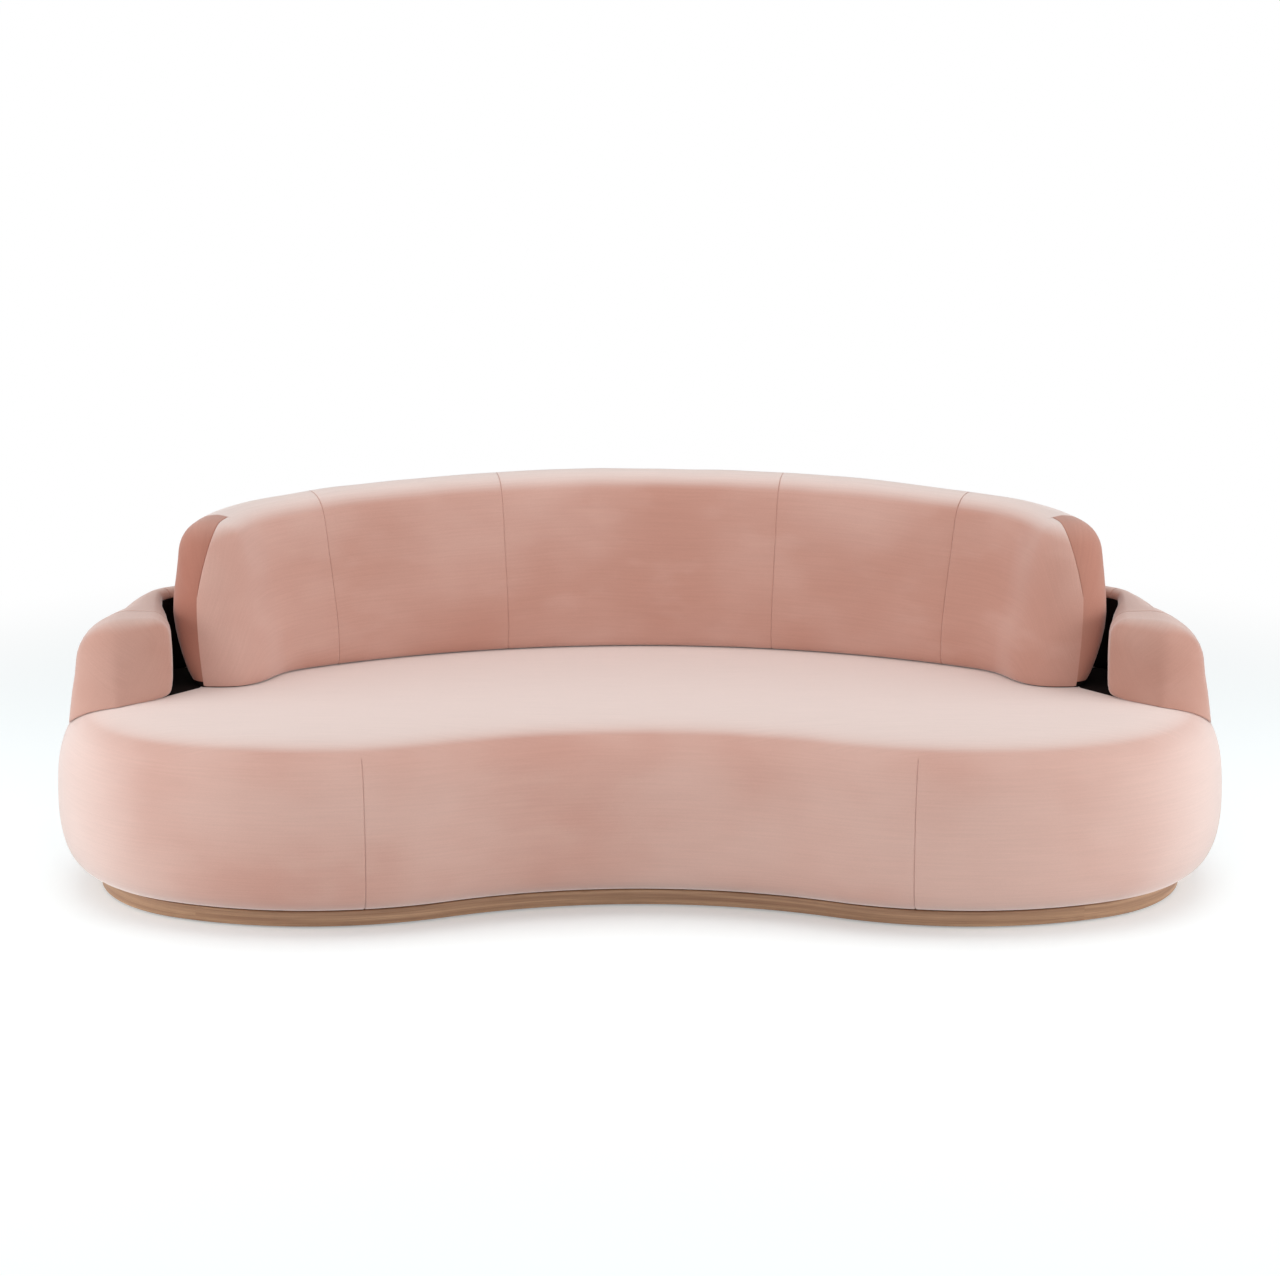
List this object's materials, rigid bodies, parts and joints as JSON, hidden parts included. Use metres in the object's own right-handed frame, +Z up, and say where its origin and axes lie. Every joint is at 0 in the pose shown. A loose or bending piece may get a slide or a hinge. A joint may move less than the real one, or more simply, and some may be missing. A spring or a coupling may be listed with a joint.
{
  "type": "sofa",
  "caption": "Kidney-shaped velvet sofa with a low wraparound shell, thick rounded arms, a separate curved back cushion and a recessed wooden plinth.",
  "frame": {"origin": "on the floor under the middle of the sofa's bounding box", "axes": "+X along the width, to the right seen from the front; +Y to the rear; +Z up"},
  "size_m": [2.44, 1.1347, 0.78],
  "materials": {
    "velvet": "short-pile velvet, dusty pink",
    "velvet_shade": "short-pile velvet, dusty pink, brushed darker",
    "plinth_wood": "bent veneer band, satin varnish",
    "plywood": "raw plywood",
    "foam": "open-cell foam",
    "webbing": "woven elastic webbing",
    "felt": "pressed felt",
    "steel": "zinc plated",
    "glide": "matte"
  },
  "bodies": {
    "root": {"glides": "glide", "plinth_front": "plinth_wood", "plinth_left": "plinth_wood", "plinth_right": "plinth_wood", "plinth_rear": "plinth_wood", "plinth_cross_boards": "plywood", "plinth_blocks": "plywood", "base_deck": "plywood", "seat_ribs": "plywood", "seat_posts": "plywood", "seat_top_ring": "plywood", "facing_front": "plywood", "facing_left": "plywood", "facing_right": "plywood", "facing_rear": "plywood", "seat_straps_cross": "webbing", "seat_straps_long": "webbing", "seat_felt": "felt", "seat_foam": "foam", "seat_border_foam": "foam", "seat_cover_top": "velvet", "seat_cover_front": "velvet", "seat_cover_left": "velvet", "seat_cover_right": "velvet", "seat_cover_rear": "velvet", "shell_bottom_rail": "plywood", "shell_top_rail": "plywood", "shell_posts": "plywood", "shell_outer_board": "plywood", "shell_inner_board": "plywood", "shell_brackets": "steel", "shell_padding": "foam", "shell_cover_outer": "velvet", "shell_cover_inner": "velvet", "arm_left_frame": "plywood", "arm_left_foam": "foam", "arm_left_cover": "velvet", "arm_right_frame": "plywood", "arm_right_foam": "foam", "arm_right_cover": "velvet", "arm_bolts": "steel", "back_bottom_rail": "plywood", "back_top_rail": "plywood", "back_posts": "plywood", "back_straps": "webbing", "back_studs": "steel", "back_foam": "foam", "back_cover_centre": "velvet", "back_cover_left": "velvet", "back_cover_right": "velvet", "back_cover_end_left": "velvet", "back_cover_end_right": "velvet", "back_gusset_left": "velvet_shade", "back_gusset_right": "velvet_shade", "back_cover_rear": "velvet_shade"}
  },
  "joints": []
}
